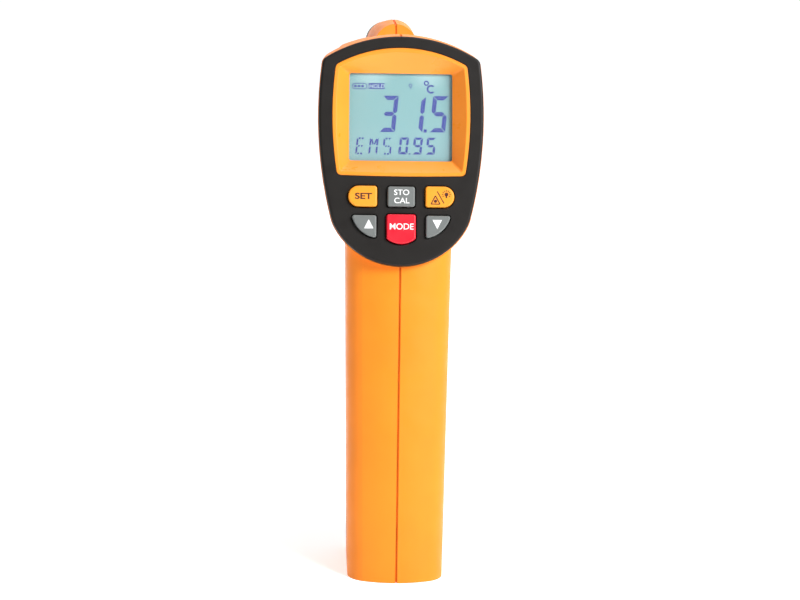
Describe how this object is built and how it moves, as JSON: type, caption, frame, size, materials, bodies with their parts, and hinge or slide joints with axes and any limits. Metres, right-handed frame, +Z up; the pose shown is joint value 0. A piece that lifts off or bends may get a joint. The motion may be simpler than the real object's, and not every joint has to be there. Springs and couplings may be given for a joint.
{
  "type": "infrared thermometer",
  "caption": "Pistol-grip infrared thermometer with a tilted display, keypad, trigger, lens barrel and battery door in the grip.",
  "frame": {"origin": "middle of the grip's flat base, on the plane it stands on", "axes": "+Z up, +Y the way the lens points, +X to the right of a person holding it and reading the display; the casings' joint lies on X = 0"},
  "size_m": [0.062, 0.155, 0.2009],
  "materials": {
    "orange_shell": "satin",
    "black_shell": "satin",
    "panel_black": "fine matt",
    "funnel_orange": "satin",
    "clear": "polished",
    "lcd": "polished",
    "white_plastic": "satin",
    "led": "gloss",
    "zebra": "matt",
    "key_orange": "satin",
    "key_grey": "satin",
    "key_red": "satin",
    "silicone": "matt",
    "circuit_board": "satin solder mask",
    "chip": "matt",
    "steel": "satin",
    "spring_steel": "bright",
    "tube_black": "matt",
    "lens_glass": "polished, coated",
    "brass": "turned",
    "aluminium": "machined",
    "trigger_black": "satin",
    "battery_wrap": "gloss",
    "wire_red": "satin",
    "wire_black": "satin",
    "ribbon_grey": "satin",
    "door_black": "fine texture"
  },
  "bodies": {
    "housing": {"left_casing": "orange_shell", "right_casing": "orange_shell", "casing_screws": "steel", "rear_panel": "panel_black", "display_frame": "funnel_orange", "display_window": "clear", "lcd_glass": "lcd", "backlight_diffuser": "white_plastic", "backlight_leds": "led", "lcd_holder": "white_plastic", "zebra_strips": "zebra", "keypad_mat": "silicone", "main_board": "circuit_board", "board_screws": "steel", "board_components": "chip", "buzzer": "chip", "nose_bezel": "black_shell", "optics_tube": "tube_black", "lens": "lens_glass", "lens_retainer": "aluminium", "thermopile_sensor": "steel", "sensor_board": "circuit_board", "sensor_ribbon": "ribbon_grey", "laser_module": "brass", "laser_bracket": "white_plastic", "laser_window": "clear", "laser_leads": "wire_red", "trigger_pin": "steel", "trigger_spring": "spring_steel", "trigger_switch": "chip", "switch_board": "circuit_board", "switch_leads": "wire_black", "trigger_surround": "black_shell", "battery": "battery_wrap", "battery_snap": "wire_black", "battery_lead_red": "wire_red", "battery_lead_black": "wire_black", "door_hinge_pin": "steel"},
    "set_key_body": {"set_key": "key_orange"},
    "store_key_body": {"store_key": "key_grey"},
    "laser_key_body": {"laser_key": "key_orange"},
    "up_key_body": {"up_key": "key_grey"},
    "mode_key_body": {"mode_key": "key_red"},
    "down_key_body": {"down_key": "key_grey"},
    "trigger_body": {"trigger": "trigger_black"},
    "switch_plunger_body": {"switch_plunger": "key_red"},
    "battery_door_body": {"battery_door": "door_black"}
  },
  "joints": [
    {"name": "set_press", "type": "slide", "parent": "housing", "child": "set_key_body", "axis": [0, 0.9578, -0.2874], "range_m": [0, 0.0008], "stiffness_N_per_m": 2500},
    {"name": "store_press", "type": "slide", "parent": "housing", "child": "store_key_body", "axis": [0, 0.9578, -0.2874], "range_m": [0, 0.0008], "stiffness_N_per_m": 2500},
    {"name": "laser_press", "type": "slide", "parent": "housing", "child": "laser_key_body", "axis": [0, 0.9578, -0.2874], "range_m": [0, 0.0008], "stiffness_N_per_m": 2500},
    {"name": "up_press", "type": "slide", "parent": "housing", "child": "up_key_body", "axis": [0, 0.9578, -0.2874], "range_m": [0, 0.0008], "stiffness_N_per_m": 2500},
    {"name": "mode_press", "type": "slide", "parent": "housing", "child": "mode_key_body", "axis": [0, 0.9578, -0.2874], "range_m": [0, 0.0008], "stiffness_N_per_m": 2500},
    {"name": "down_press", "type": "slide", "parent": "housing", "child": "down_key_body", "axis": [0, 0.9578, -0.2874], "range_m": [0, 0.0008], "stiffness_N_per_m": 2500},
    {"name": "trigger_pull", "type": "hinge", "parent": "housing", "child": "trigger_body", "pos_m": [0, 0.0485, 0.1435], "axis": [-1, 0, 0], "range_deg": [0, 7], "stiffness_Nm_per_rad": 0.6, "springref_deg": -5.73, "deforming": ["trigger_spring"]},
    {"name": "plunger_press", "type": "slide", "parent": "housing", "child": "switch_plunger_body", "axis": [0, -0.9903, 0.1392], "range_m": [0, 0.0021]},
    {"name": "battery_door_hinge", "type": "hinge", "parent": "housing", "child": "battery_door_body", "pos_m": [0, 0.02394, 0.00795], "axis": [-1, 0, 0], "range_deg": [0, 80]}
  ],
  "couplings": [
    {"joint": "plunger_press", "follows": "trigger_pull", "m_per_rad": 0.0155}
  ]
}
